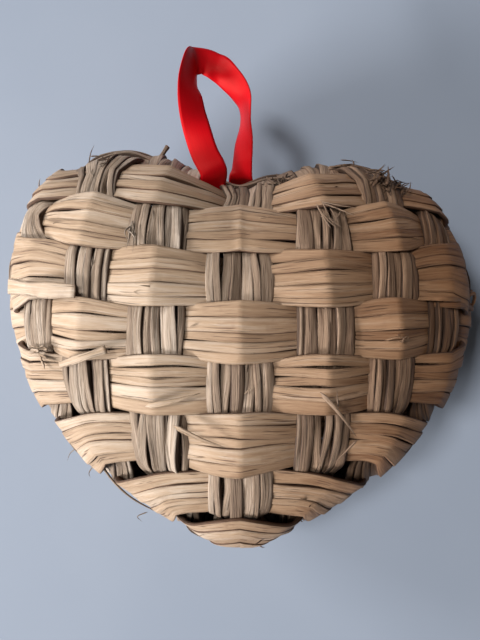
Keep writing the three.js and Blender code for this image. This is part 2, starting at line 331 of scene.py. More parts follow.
@dataclass(frozen=True)
class Weave:
    """The plain weave: rows and columns of hoops, and the band round the edge, in millimetres."""

    form: HeartForm = HeartForm()
    row_y: tuple[float, ...] = (52, 39.2, 23, 6, -11, -30, -49, -65)
    row_lift: tuple[float, ...] = (15, 5.5, 4, 2, 1, -1, -4, 0)
    lift_at_x: float = 70.0
    column_x: tuple[float, ...] = (-71.5, -51.8, -27.8, 0, 27.8, 51.8, 71.5)
    column_bow: float = 0.06
    bow_centre_y: float = 10.0
    bow_reach: float = 60.0
    # Column and row of a crossing, and how far it is moved along X and Y.
    shifts: tuple[tuple[int, int, float, float], ...] = (
        (3, 0, 3.0, 0.0), (0, 1, -6.0, 0.0), (0, 0, 0.4, -11.3), (6, 0, -0.4, -11.3),
    )
    column_rows: tuple[tuple[int, int], ...] = ((0, 4), (0, 5), (0, 6), (0, 7), (0, 6), (0, 5), (0, 4))
    row_rim: tuple[float, ...] = (36.5, 27.5, 16.3, 5.2, -7.1, -31.5, -57.0, -76.0)
    column_rim_top: tuple[float, ...] = (42, 54.8, 69.3, 87.5)
    column_rim_foot: tuple[float, ...] = (-19.5, -45, -70.5, -90)
    rim_cap: float = 14.0
    slant_loss: float = 0.25
    turn_share: float = 0.85
    rim_turn_share: float = 1.1
    middle_row: int = 3

    @property
    def origin_y(self) -> float:
        """Place along Y of the row that lies over the part's origin."""
        return self.row_y[self.middle_row]

    def crossing(self, column: int, row: int) -> Pair:
        """Plan place where a row and a column cross.

        Args:
            column: number of the warp from the left, from 0.
            row: number of the weft from the notch, from 0.

        Returns:
            X and Y.
        """
        bow = 1 - self.column_bow * ((self.row_y[row] - self.bow_centre_y) / self.bow_reach) ** 2
        shift = next(((x, y) for c, r, x, y in self.shifts if (c, r) == (column, row)), (0.0, 0.0))
        x = self.column_x[column] * bow + shift[0]
        return x, self.row_y[row] + self.row_lift[row] * (x / self.lift_at_x) ** 2 + shift[1]

    def rim_point(self, degrees: float, mirrored: bool) -> Array:
        """Point of the outline in a direction, or in its mirror image."""
        angle = math.radians(180 - degrees if mirrored else degrees)
        return self.form.radius(np.array([angle]))[0] * np.array([math.cos(angle), math.sin(angle), 0.0])

    def hoop(self, kind: Bundle, name: str, places: list[tuple[int, int]],
             rims: tuple[Array, Array]) -> Hoop:
        """A hoop across the front, over the edge and back across the back.

        Args:
            kind: weft or warp.
            name: its node's name.
            places: column and row of each crossing, in order.
            rims: where it passes over the edge, before and after.

        Returns:
            The hoop with its crossings in order.
        """
        plan = [self.crossing(*place) for place in places]
        signs = [(1 if (c + r) % 2 == 0 else -1) * (1 if kind is Bundle.WEFT else -1) for c, r in places]
        xs, ys = np.array(plan).T
        faces = {side: self.form.on_face(xs, ys, side == "back") for side in ("front", "back")}

        def knots(side: str) -> list[Knot]:
            """The crossings of one face, in order."""
            return [Knot(f"{c}.{r}.{side}", faces[side][i], signs[i])
                    for i, (c, r) in enumerate(places)]

        first = Knot(f"{name}-start", rims[0], -signs[0], rim=True)
        last = Knot(f"{name}-end", rims[1], -signs[-1], rim=True)
        line = np.vstack([rims[0][:2], np.array(plan), rims[1][:2]])
        return Hoop(kind, name, [first, *knots("front"), last, *reversed(knots("back"))], line)

    def hoops(self) -> list[Hoop]:
        """All the hoops with their widths.

        Returns:
            The wefts, then the warps, then the edge band.
        """
        made = []
        last = len(self.column_x) - 1
        for row in range(len(self.row_y)):
            places = [(c, row) for c, (a, b) in enumerate(self.column_rows) if a <= row <= b]
            rims = tuple(self.rim_point(self.row_rim[row], mirrored) for mirrored in (True, False))
            made.append(self.hoop(Bundle.WEFT, f"weft_{row + 1}", places, rims))
        for column, (a, b) in enumerate(self.column_rows):
            from_side = min(column, last - column)
            rims = tuple(self.rim_point(rim[from_side], column < last / 2)
                         for rim in (self.column_rim_top, self.column_rim_foot))
            places = [(column, r) for r in range(a, b + 1)]
            made.append(self.hoop(Bundle.WARP, f"warp_{column + 1}", places, rims))
        rim_knots = [Knot(k.ident, k.point, -k.sign, rim=True) for h in made for k in h.knots if k.rim]
        rim_knots.sort(key=lambda k: math.atan2(k.point[1], k.point[0]))
        made.append(Hoop(Bundle.EDGE, "edge_band", rim_knots))
        self.set_widths(made)
        return made

    def set_widths(self, hoops: list[Hoop]) -> None:
        """Sets each hoop's half-width at each knot, from how far off the crossing hoop's next crossings are.

        Args:
            hoops: all the hoops.
        """
        passes: dict[str, list[tuple[Hoop, float, Array]]] = {}
        for hoop in hoops:
            n = len(hoop.knots)
            for i, knot in enumerate(hoop.knots):
                before, after = hoop.knots[i - 1].point, hoop.knots[(i + 1) % n].point
                gaps = np.linalg.norm(knot.point - before), np.linalg.norm(knot.point - after)
                gap = sum(gaps) / 2 if hoop.kind is Bundle.EDGE else min(gaps)
                passes.setdefault(knot.ident, []).append((hoop, float(gap), unit(after - before)))
        for hoop in hoops:
            for knot in hoop.knots:
                own, other = sorted(passes[knot.ident], key=lambda p: p[0] is not hoop)
                lay = LAYS[hoop.kind]
                share = (lay.rim_share if knot.rim else lay.face_share)[0 if knot.sign > 0 else 1]
                slant = 1 - self.slant_loss * abs(float(own[2] @ other[2]))
                at_rim = knot.rim and hoop.kind is not Bundle.EDGE
                cap = self.rim_cap if at_rim else lay.widest
                turn = self.rim_turn_share if at_rim else self.turn_share
                widest = min(cap, share * other[1], turn * own[1])
                knot.half_width = widest * slant


@dataclass
class Band:
    """A hoop sampled finely: feet and normals across it, its wave and its half-width at each station."""

    hoop: Hoop
    sides: Array
    feet: Array
    normals: Array
    height: Array
    half_width: Array
    along: Array

    @property
    def length(self) -> float:
        """Length of the centre line, in millimetres."""
        return float(self.along[-1])


@dataclass(frozen=True)
class Loom:
    """Samples the weave's hoops and puts points over a band into the part's frame, in millimetres."""

    weave: Weave = Weave()
    spacing: float = 1.45
    rest: float = 41.75
    back_fall: Pair = (0.1, 0.1)
    swap_delay: float = 0.3
    steady: int = 5
    fine_points: int = 61
    fewest_stations: int = 6
    side_reach: float = 1.4
    side_count: int = 15

    def swap(self, share: Array, a: Knot, b: Knot, fall: Pair) -> Array:
        """How far a hoop has changed over from one knot's height to the next one's.

        Args:
            share: places between the two knots, 0 to 1.
            a: the knot behind.
            b: the knot ahead.
            fall: share of the drop that is a straight slope from where it passes over, and where it dives.

        Returns:
            0 at the first knot, 1 at the second.
        """
        if a.rim and not b.rim:
            return ease(share / (1 - self.swap_delay))
        if b.rim and not a.rim:
            return ease((share - self.swap_delay) / (1 - self.swap_delay))
        slope, dive = fall
        off_top = share if a.sign > 0 else 1 - share
        fallen = slope * off_top + (1 - slope) * ease((off_top - dive) / (1 - dive))
        return fallen if a.sign > 0 else 1 - fallen

    @staticmethod
    def narrow(share: Array, a: Knot, b: Knot) -> Array:
        """How far a hoop has changed over from one knot's width to the next one's.

        Args:
            share: places between the two knots, 0 to 1.
            a: the knot behind.
            b: the knot ahead.

        Returns:
            0 at the first knot, 1 at the second.
        """
        if a.rim and not b.rim:
            return share ** 2
        if b.rim and not a.rim:
            return 1 - (1 - share) ** 2
        return ease(share)

    def centre(self, hoop: Hoop, k: int) -> Array:
        """Fine points of a hoop's centre line on the form, from one knot to the next.

        Args:
            hoop: the hoop.
            k: number of the knot behind.

        Returns:
            One point a row.
        """
        form = self.weave.form
        a, b = hoop.knots[k], hoop.knots[(k + 1) % len(hoop.knots)]
        shares = np.linspace(0, 1, self.fine_points)
        if hoop.plan is None:
            start = math.atan2(a.point[1], a.point[0])
            turn = (math.atan2(b.point[1], b.point[0]) - start) % (2 * math.pi)
            angle = start + turn * shares
            r = form.radius(angle)
            return np.stack([r * np.cos(angle), r * np.sin(angle), np.zeros_like(r)], axis=-1)
        spans = len(hoop.plan) - 1
        back = k > spans - 1
        first, last = (2 * spans - k, 2 * spans - k - 1) if back else (k, k + 1)
        eased = shares ** 2 if a.rim else 1 - (1 - shares) ** 2 if b.rim else shares
        if hoop.kind is Bundle.WEFT and (a.rim or b.rim):
            plan = a.point[:2] + (b.point[:2] - a.point[:2]) * eased[:, None]
        else:
            plan = curve(hoop.plan, first + (last - first) * eased)
        return form.on_face(plan[:, 0], plan[:, 1], back)

    def band(self, hoop: Hoop) -> Band:
        """A hoop's fine stations.

        Args:
            hoop: the hoop.

        Returns:
            Its band, whose last station is its first one again.
        """
        points, height, width = [], [], []
        up, down = LAYS[hoop.kind].wave
        knots = len(hoop.knots)
        for step in range(knots):
            # Where the run starts and ends is three quarters round, on the back of a weft or a warp.
            k = (step + knots * 3 // 4) % knots
            a, b = hoop.knots[k], hoop.knots[(k + 1) % knots]
            fine = self.centre(hoop, k)
            along = np.concatenate([[0], np.cumsum(np.linalg.norm(np.diff(fine, axis=0), axis=1))])
            count = max(self.fewest_stations, round(along[-1] / self.spacing))
            share = np.arange(count) / count
            points.append(np.stack([np.interp(share * along[-1], along, fine[:, i]) for i in range(3)],
                                   axis=-1))
            start, end = (up if knot.sign > 0 else -down for knot in (a, b))
            on_back = hoop.kind is not Bundle.EDGE and k >= knots // 2
            fall = self.back_fall if on_back else LAYS[hoop.kind].fall
            height.append(start + (end - start) * self.swap(share, a, b, fall))
            width.append(a.half_width + (b.half_width - a.half_width) * self.narrow(share, a, b))
        centre = np.vstack(points)
        forward = unit(np.roll(centre, -1, axis=0) - np.roll(centre, 1, axis=0))
        forward = unit(sum(np.roll(forward, step, axis=0) for step in range(-self.steady, self.steady + 1)))
        _, normal = self.weave.form.settle(centre)
        across = unit(np.cross(normal, forward))
        half_width = np.concatenate(width)
        sides = np.linspace(-self.side_reach, self.side_reach, self.side_count)
        settled = [self.weave.form.settle(centre + across * (s * half_width)[:, None]) for s in sides]
        feet = np.stack([closed(foot) for foot, _ in settled], axis=1)
        normals = np.stack([closed(n) for _, n in settled], axis=1)
        steps = np.linalg.norm(np.roll(centre, -1, axis=0) - centre, axis=1)
        along = np.concatenate([[0], np.cumsum(steps)])
        return Band(hoop, sides, feet, normals, closed(np.concatenate(height)), closed(half_width), along)

    def place(self, band: Band, across: Array, above: Array) -> Array:
        """Points in the part's frame, in metres.

        Args:
            band: the band that they belong to, one row of points for each of its stations.
            across: millimetres off its centre line along its width.
            above: millimetres above its wave.

        Returns:
            One point for each entry of across.
        """
        side = np.clip(across / band.half_width[:, None], band.sides[0], band.sides[-1])
        step = band.sides[1] - band.sides[0]
        k = np.clip(((side - band.sides[0]) / step).astype(int), 0, len(band.sides) - 2)
        t = ((side - band.sides[0]) / step - k)[..., None]
        rows = np.arange(len(side))[:, None]
        foot = band.feet[rows, k] * (1 - t) + band.feet[rows, k + 1] * t
        normal = unit(band.normals[rows, k] * (1 - t) + band.normals[rows, k + 1] * t)
        return self.finished(foot + normal * (band.height[:, None] + above)[..., None])

    def finished(self, p: Array) -> Array:
        """Points with the uneven lobes and the back pressed flat.

        Args:
            p: points in millimetres about the heart's middle.

        Returns:
            The points in the part's frame, in metres.
        """
        y = np.maximum(0, p[..., 1])
        skewed = p[..., 1] - self.weave.form.lobe_skew * p[..., 0] * y * y
        z = np.maximum(p[..., 2], -self.rest)
        return np.stack([p[..., 0], skewed - self.weave.origin_y, z + self.rest], axis=-1) * MM


class Sock:
    """A shader socket that takes part in sums, so that node maths reads as arithmetic."""

    def __init__(self, graph: Graph, socket: bpy.types.NodeSocket) -> None:
        """Wraps a socket of a graph."""
        self.graph = graph
        self.socket = socket

    def _math(self, operation: str, a: Sock | float, b: Sock | float) -> Sock:
        """A Math node on two values."""
        return self.graph.node("ShaderNodeMath", {"operation": operation}, {0: a, 1: b})

    def __add__(self, other: Sock | float) -> Sock:
        """This plus another value."""
        return self._math("ADD", self, other)

    def __sub__(self, other: Sock | float) -> Sock:
        """This less another value."""
        return self._math("SUBTRACT", self, other)

    def __rsub__(self, other: Sock | float) -> Sock:
        """Another value less this."""
        return self._math("SUBTRACT", other, self)

    def __mul__(self, other: Sock | float) -> Sock:
        """This times another value."""
        return self._math("MULTIPLY", self, other)

    def __abs__(self) -> Sock:
        """This without its sign."""
        return self._math("ABSOLUTE", self, 0.0)


@dataclass
class Graph:
    """The node tree of one material."""

    name: str

    def __post_init__(self) -> None:
        """Starts an empty tree in a new material."""
        self.material = bpy.data.materials.new(self.name)
        self.material.use_nodes = True
        self.material.node_tree.nodes.clear()

    def node(self, kind: str, settings: dict | None = None, inputs: dict | None = None,
             output: int | str = 0) -> Sock:
        """Any node.

        Args:
            kind: its type.
            settings: properties that are set first; "stops" fills a colour ramp.
            inputs: socket name or number to a value or another node's output.
            output: which output is returned.

        Returns:
            That output.
        """
        node = self.material.node_tree.nodes.new(kind)
        for key, value in (settings or {}).items():
            if key == "stops":
                ramp = node.color_ramp.elements
                while len(ramp) < len(value):
                    ramp.new(0.5)
                for element, (place, colour) in zip(ramp, value):
                    element.position = place
                    element.color = (*colour, 1)
            else:
                setattr(node, key, value)
        for key, value in (inputs or {}).items():
            socket = node.inputs[key]
            if isinstance(value, Sock):
                self.material.node_tree.links.new(value.socket, socket)
            elif socket.type == "RGBA":
                socket.default_value = (*value, 1)
            else:
                socket.default_value = value
        return Sock(self, node.outputs[output])

    def mix(self, factor: Sock | float, a: Sock | tuple, b: Sock | tuple, blend: str = "MIX") -> Sock:
        """One colour laid over another.

        Args:
            factor: how much of the second.
            a: the first colour.
            b: the second colour.
            blend: the way they are mixed.

        Returns:
            The mixed colour.
        """
        return self.node("ShaderNodeMix", {"data_type": "RGBA", "blend_type": blend},
                         {0: factor, 6: a, 7: b}, 2)

    def part_of(self, vector: Sock, axis: str) -> Sock:
        """One coordinate of a vector."""
        return self.node("ShaderNodeSeparateXYZ", {}, {0: vector}, axis)

    def scaled(self, vector: Sock, scale: Triple) -> Sock:
        """A vector scaled by another amount along each axis."""
        return self.node("ShaderNodeVectorMath", {"operation": "MULTIPLY"}, {0: vector, 1: scale})

    def noise(self, vector: Sock, scale: float, detail: float, roughness: float) -> Sock:
        """Noise between 0 and 1 over a vector."""
        return self.node("ShaderNodeTexNoise", {}, {
            "Vector": vector, "Scale": scale, "Detail": detail, "Roughness": roughness})

    def span(self, value: Sock, low: float, high: float) -> Sock:
        """A value spread so that low becomes 0 and high becomes 1, held between them."""
        return self.node("ShaderNodeMapRange", {"clamp": True}, {0: value, 1: low, 2: high, 3: 0.0, 4: 1.0})

    def finish(self, bump: Sock | None, strength: float, distance: float,
               **surface: Sock | float | tuple) -> None:
        """The surface shader and the output.

        Args:
            bump: height of the relief, if any.
            strength: how strongly it shows.
            distance: its depth in metres.
            **surface: Principled socket names, with spaces as underscores.
        """
        inputs = {key.replace("_", " "): value for key, value in surface.items()}
        if bump is not None:
            inputs["Normal"] = self.node("ShaderNodeBump", {}, {
                "Strength": strength, "Distance": distance, "Height": bump})
        shader = self.node("ShaderNodeBsdfPrincipled", {}, inputs)
        out = self.material.node_tree.nodes.new("ShaderNodeOutputMaterial")
        self.material.node_tree.links.new(shader.socket, out.inputs["Surface"])


@dataclass(frozen=True)
class Grain:
    """One layer of noise over a strip: its scale along and across the fibres, and what becomes 0 and 1."""

    along: float
    across: float
    detail: float
    roughness: float
    low: float = 0.3
    high: float = 0.7

    def value(self, g: Graph, place: Sock) -> Sock:
        """The layer as a value between 0 and 1."""
        stretched = g.scaled(place, (self.along, self.across, 1.0))
        return g.span(g.noise(stretched, 1.0, self.detail, self.roughness), self.low, self.high)


@dataclass(frozen=True)
class LeafFinish:
    """Dry leaf: long fibres, lighter and darker streaks, brown stains and fine cracks, with painted shade
    along the sides of each strip and painted shade towards +X, the heart's side away from the light.
    """

    name: str
    dark: Triple
    mid: Triple
    pale: Triple
    stain: Triple
    # The darkest colour: that of the fine cracks, and of the painted shade along each strip's sides and
    # underside, where strips meet.
    crack_and_gap_shade: Triple
    gloss: float = 0.55
    relief: float = 0.00035
    fibres: Grain = Grain(30, 30, 4, 0.65)
    streaks: Grain = Grain(8, 7, 3, 0.55)
    stains: Grain = Grain(40, 2.2, 3, 0.6, 0.61, 0.85)
    cracks: Grain = Grain(22, 42, 2, 0.5, 0.3, 0.36)
    # How much of the paleness comes from the fibres, the streaks, the strip's own tone, and the painted
    # shade towards +X, which takes paleness away.
    weights: tuple[float, ...] = (0.42, 0.26, 0.34, 0.22)
    stain_cover: float = 0.6
    crack_cover: float = 0.8
    # Painted shade along each strip's sides and underside, in the gaps where strips meet: how strongly it
    # covers, the place round the section where it sets in, and how much that place wavers.
    side_shade_cover: float = 0.9
    sides: Pair = (0.215, 0.245)
    side_shade_waver: float = 0.02
    # Painted shade towards +X, the heart's side away from the light: the colour multiplied in, and the
    # object X in metres over which it sets in.
    painted_right_shade: Triple = (0.82, 0.55, 0.36)
    painted_right_shade_x: Pair = (-0.02, 0.09)
    tone_shift: Triple = (7.3, 3.1, 11.7)
    roughness_spread: float = 0.16
    heights: Triple = (0.5, 0.2, 0.5)

    def make(self) -> bpy.types.Material:
        """The finish as a material.

        Returns:
            The material.
        """
        g = Graph(self.name)
        uv = g.node("ShaderNodeUVMap", {"uv_map": "UVMap"})
        tone = g.node("ShaderNodeAttribute", {"attribute_name": "tone"}, output="Fac")
        shift = g.node("ShaderNodeCombineXYZ", {}, {
            axis: tone * amount for axis, amount in zip("XYZ", self.tone_shift)})
        place = g.node("ShaderNodeVectorMath", {"operation": "ADD"}, {0: uv, 1: shift})
        fibres, streaks = self.fibres.value(g, place), self.streaks.value(g, place)
        stains, cracks = self.stains.value(g, place), 1 - self.cracks.value(g, place)
        # Painted shade: 0 up to the middle, 1 towards +X, on the side away from the light; it lowers the
        # paleness and multiplies in a darker brown.
        painted_right_shade = g.span(g.part_of(g.node("ShaderNodeTexCoord", output="Object"), "X"), *self.painted_right_shade_x)
        by_fibre, by_streak, by_tone, by_painted_right_shade = self.weights
        level = fibres * by_fibre + streaks * by_streak + tone * by_tone - painted_right_shade * by_painted_right_shade
        base = g.node("ShaderNodeValToRGB", {"stops": [
            (0.0, self.dark), (0.5, self.mid), (1.0, self.pale)]}, {"Fac": g.span(level, 0.0, 1.0)})
        colour = g.mix(stains * self.stain_cover, base, self.stain)
        colour = g.mix(painted_right_shade, colour, self.painted_right_shade, "MULTIPLY")
        colour = g.mix(cracks * self.crack_cover, colour, self.crack_and_gap_shade)
        # Painted shade along each strip's sides and underside, in the gaps where strips meet.
        from_top = abs(g.part_of(uv, "Y") - 0.5)
        sides = g.span(from_top + (fibres - 0.5) * self.side_shade_waver, *self.sides)
        colour = g.mix(sides * self.side_shade_cover, colour, self.crack_and_gap_shade)
        fibre_height, streak_height, crack_depth = self.heights
        height = fibres * fibre_height + streaks * streak_height - cracks * crack_depth
        g.finish(height, 1.0, self.relief, Base_Color=colour,
                 Roughness=fibres * self.roughness_spread + self.gloss)
        return g.material


@dataclass(frozen=True)
class SatinFinish:
    """Red satin ribbon: threads along it, a firmer woven edge, and a soft broad sheen."""

    name: str = "red_satin"
    body: Triple = (0.68, 0.004, 0.01)
    deep: Triple = (0.44, 0.002, 0.006)
    edge: Pair = (0.455, 0.475)
    gloss: float = 0.34

    def make(self) -> bpy.types.Material:
        """The finish as a material.

        Returns:
            The material.
        """
        g = Graph(self.name)
        uv = g.node("ShaderNodeUVMap", {"uv_map": "UVMap"})
        threads = g.node("ShaderNodeTexWave", {"bands_direction": "Y", "wave_profile": "SIN"},
                         {"Vector": uv, "Scale": 26.0, "Distortion": 0.6, "Detail": 2.0})
        slubs = g.noise(g.scaled(uv, (9.0, 60.0, 1.0)), 1.0, 2, 0.5)
        edge = g.span(abs(g.part_of(uv, "Y") - 0.5), *self.edge)
        colour = g.mix(g.span(slubs, 0.35, 0.75) * 0.35, self.body, self.deep)
        colour = g.mix(edge * 0.45, colour, self.deep)
        rough = slubs * 0.12 + self.gloss + edge * 0.2
        g.finish(threads * 0.3 + edge * 0.8 + slubs * 0.3, 0.25, 0.0001, Base_Color=colour, Roughness=rough,
                 Anisotropic=0.5, Specular_IOR_Level=0.35, Specular_Tint=(1.0, 0.25, 0.2))
        return g.material


def closed_noise(rng: np.random.Generator, count: int, low: int, high: int, amount: float,
                 waves: int = 7, spread: float = 2.2) -> Array:
    """A smooth random run that ends as it begins.

    Args:
        rng: the source of chance.
        count: number of stations, the last of which is the first again.
        low: fewest periods that a wave may have.
        high: most periods that a wave may have.
        amount: roughly how far it strays from 0.
        waves: how many waves are added up.
        spread: roughly how far their sum strays from 0.

    Returns:
        One value for each station.
    """
    t = np.linspace(0, 2 * np.pi, count)
    periods = rng.integers(low, high + 1, waves)
    run = sum(np.sin(w * t + rng.uniform(0, 2 * np.pi)) * rng.uniform(0.5, 1) for w in periods)
    return run * amount / spread


@dataclass(frozen=True)
class StripStyle:
    """How the strips of one kind of bundle look, in millimetres. As given here, those of a warp."""

    count: int = 7
    uneven: float = 0.5
    overlap: float = 1.15
    thickness: float = 1.0
    squareness: float = 0.5
    wander: float = 0.7
    stagger: float = 0.6
    roll: float = 0.2
    crown: float = 0.35
    ridges: int = 4
    ridge_depth: float = 0.12
    turn_every: float = 70.0
    round_steps: int = 12
    tone: Pair = (0.0, 1.0)
    slow_wave: float = 70.0
    fast_wave: float = 25.0
    least_half_width: float = 1.2
    width_noise: float = 0.1
    level_noise: float = 0.4
    lean: float = 0.3
    thickness_noise: float = 0.12
    turn_noise: float = 0.8


STYLES: dict[Bundle, StripStyle] = {
    Bundle.WEFT: StripStyle(count=5, uneven=0.35, overlap=1.06, thickness=0.8, squareness=0.3, wander=0.4,
                            stagger=0.35, roll=0.05, crown=0.2, ridges=5, ridge_depth=0.015,
                            turn_every=400.0, round_steps=14, tone=(0.15, 1.0)),
    Bundle.WARP: StripStyle(),
    Bundle.EDGE: StripStyle(count=6, uneven=0.4, thickness=1.1, crown=0.5, tone=(0.0, 0.8)),
}


@dataclass(frozen=True)
class Loose:
    """A loose end, splinter or hair, through points in millimetres about the heart's middle."""

    width: float
    tone: float
    points: tuple[Triple | Array, ...]
    thickness: float = 0.25
    blunt: bool = False


@dataclass(frozen=True)
class Fray:
    """A spray of loose fibres, from a root towards a tip, in millimetres about the heart's middle."""

    root: Triple
    tip: Triple
    root_spread: float
    tip_spread: float
    count: int
    width: float
    tone: float
    root_shape: Triple = (1, 1, 0.3)
    tip_shape: Triple = (1, 1, 0.4)
    reach: Pair = (0.5, 1.1)
    bend_share: float = 0.25
    tone_spread: float = 0.3
    width_shares: Pair = (0.5, 1.6)

    def fibres(self, rng: np.random.Generator) -> list[Loose]:
        """The fibres of the spray.

        Args:
            rng: the source of chance.

        Returns:
            One loose fibre for each.
        """
        made = []
        root, way = np.array(self.root), np.array(self.tip) - np.array(self.root)
        for _ in range(self.count):
            start = root + rng.normal(0, self.root_spread, 3) * self.root_shape
            end = root + way * rng.uniform(*self.reach) + rng.normal(0, self.tip_spread, 3) * self.tip_shape
            bend = (start + end) / 2 + rng.normal(0, self.tip_spread * self.bend_share, 3)
            tone = float(np.clip(self.tone + rng.normal(0, self.tone_spread), 0, 1))
            width = self.width * rng.uniform(*self.width_shares)
            made.append(Loose(width, tone, (start, bend, end)))
        return made


@dataclass(frozen=True)
class HairStyle:
    """The short hairs that stand off a bundle here and there, in millimetres and in stations of its band."""

    count: int = 7
    side_steps: int = 3
    lift: float = 0.6
    stations: int = 5
    length: Pair = (2.0, 6.0)
    rise: Pair = (0.3, 1.8)
    spread: float = 0.6
    bend: float = 0.5
    width: Pair = (0.3, 0.6)
    tone: Pair = (0.3, 1.0)


@dataclass(frozen=True)
class BladeStyle:
    """Section and ends of a loose fibre: round when it is narrow, boxy when it is wide."""

    span_steps: int = 4
    narrow: float = 1.1
    narrow_section: tuple[int, float] = (6, 1.0)
    wide_section: tuple[int, float] = (12, 0.35)
    blunt_end: float = 0.01
    blunt_inset: float = 0.06
    waver: float = 0.12
    waver_rate: float = 9.0


# Loose ends, splinters and hairs of each bundle, placed as in the photo.
LOOSE: dict[str, tuple[Loose, ...]] = {
    "edge_band": (
        Loose(1.7, 0.1, ((-34.5, 67, 7), (-31.7, 71.6, 5), (-28.6, 76.8, 4)), 0.7, True),
        Loose(0.35, 0.0, ((-58.8, 67, 8), (-58.3, 71.5, 7), (-57, 75.2, 6))),
        Loose(0.35, 0.1, ((-64.5, 65, 9), (-69.4, 62.3, 7), (-73.4, 58.2, 6))),
        Loose(0.5, 0.1, ((-54.5, -44, 8), (-59.4, -49.8, 5), (-59.2, -52.6, 4))),
        Loose(0.5, 0.2, ((-36, -65.2, 6), (-40.6, -67.8, 4), (-38.8, -70.4, 3))),
        Loose(0.45, 0.6, ((-60, -38, 8), (-66.5, -42, 5), (-68.5, -46, 4))),
        Loose(1.5, 0.95, (
            (72, -18, 7), (70.3, -23.5, 9), (66.2, -33.2, 9.5), (61.2, -41.8, 9), (53.5, -49.5, 8),
        ), 0.6),
        Loose(1.2, 0.8, (
            (-54.5, -38, 12), (-51.6, -47.6, 11), (-43.6, -57, 10), (-33.6, -63.4, 9), (-25.3, -66.6, 8),
        ), 0.5),
    ),
    "weft_3": (
        Loose(5.0, 0.95, (
            (-54, 19.2, 39.2), (-64, 19.6, 36), (-73.5, 20.4, 30.5), (-84.5, 21.8, 20),
        ), 0.5, True),
        Loose(1.6, 0.7, ((59, 17.6, 32), (72, 17.5, 30.8), (82.5, 17.6, 19), (89.5, 21.5, 9)), 0.5, True),
        Loose(2.0, 0.3, ((62, 15.6, 29), (76, 15.4, 27), (85.5, 15.2, 15), (90, 14.6, 8)), 0.7, True),
        Loose(1.2, 0.9, ((84, 19, 17), (89, 20.5, 12), (90.2, 17, 9), (88, 14, 9)), 0.6, True),
    ),
    "warp_5": (
        Loose(0.7, 1.0, ((26.7, 50.2, 37.5), (32.2, 48.4, 40), (38.7, 47.4, 41))),
        Loose(0.8, 1.0, ((26.7, 49.8, 37.5), (32.1, 46.9, 41), (38.7, 43.7, 42.5))),
        Loose(1.5, 1.0, ((24.9, -12.4, 47.4), (30.8, -18.9, 48.4), (37.4, -27.6, 44.5)), 0.4),
        Loose(1.0, 0.6, ((37.5, -27.9, 44.5), (34, -32.4, 42.5), (30.1, -37.6, 40)), 0.3),
        Loose(0.7, 1.0, ((30.7, -17.3, 47.5), (30.2, -14.6, 48.9), (29.8, -11.2, 50))),
    ),
    "warp_6": (Loose(0.45, 1.0, ((52.4, 2.5, 41), (52.6, 4.2, 43.4), (54, 4.8, 43.2), (54.4, 2.8, 41.5))),),
    "warp_3": (
        Loose(0.6, 1.0, ((-36.8, 38.6, 41), (-34.6, 37.2, 44), (-33.4, 35.2, 44.6), (-34.9, 34.4, 42.5))),
        Loose(0.5, 1.0, ((-35.5, 40, 41), (-36.9, 37.5, 43.5), (-35.5, 34, 42.5))),
    ),
    "weft_5": (Loose(2.6, 0.85, ((-60.5, -5.2, 35.5), (-51, -2.1, 41.6), (-43, 0.6, 43)), 0.45, True),),
    "weft_6": (
        Loose(2.0, 0.7, ((-30.5, -17.5, 44.2), (-21.5, -15.6, 47), (-12, -12.8, 47)), 0.4),
        Loose(0.6, 1.0, ((1.2, -13.4, 46), (3.7, -11, 47.4))),
    ),
    "weft_7": (Loose(1.6, 0.55, ((-21.5, -23.6, 44.2), (-12.7, -27.6, 45.8), (-3.5, -30.8, 45.4)), 0.4),),
    "weft_4": (Loose(0.7, 1.0, ((46, 3.5, 44.5), (50, 4.6, 45.5), (55, 3.9, 42.5))),),
}

# Sprays of loose fibres of each bundle, where the photo's strips are broken.
FRAYS: dict[str, tuple[Fray, ...]] = {
    "warp_6": (
        Fray((49, 60, 25), (56, 68.5, 13), 2.6, 1.8, 34, 0.8, 0.65),
        Fray((56, 60, 22), (63, 65, 12), 2.4, 1.6, 20, 0.7, 0.4),
    ),
    "warp_5": (
        Fray((40, 70.5, 12), (46, 73, 9), 2.0, 1.0, 8, 0.45, 0.6),
        Fray((28, 47, 40), (31, 40, 43), 2.0, 1.2, 8, 0.45, 0.95),
    ),
    "warp_4": (
        Fray((11, 57, 22), (9, 63, 14), 2.0, 1.2, 26, 0.8, 0.25),
        Fray((17, 60, 22), (14, 64, 14), 2.0, 1.2, 18, 0.7, 0.2),
    ),
    "warp_7": (Fray((66, 52, 14), (72, 54, 8), 2.0, 1.2, 10, 0.5, 0.4),),
    "weft_4": (Fray((84, 17, 14), (89, 16, 8), 1.2, 1.0, 12, 0.6, 0.3),),
    "weft_5": (Fray((-66, -0.5, 33), (-78, 0, 22), 1.8, 1.2, 9, 0.8, 0.6),),
    "warp_3": (Fray((-35.5, 41, 41), (-35, 33.5, 43), 0.8, 0.9, 9, 0.4, 1.0),),
    "warp_2": (Fray((-49, 64, 22), (-46, 68, 17), 2.5, 1.0, 8, 0.4, 0.4),),
}


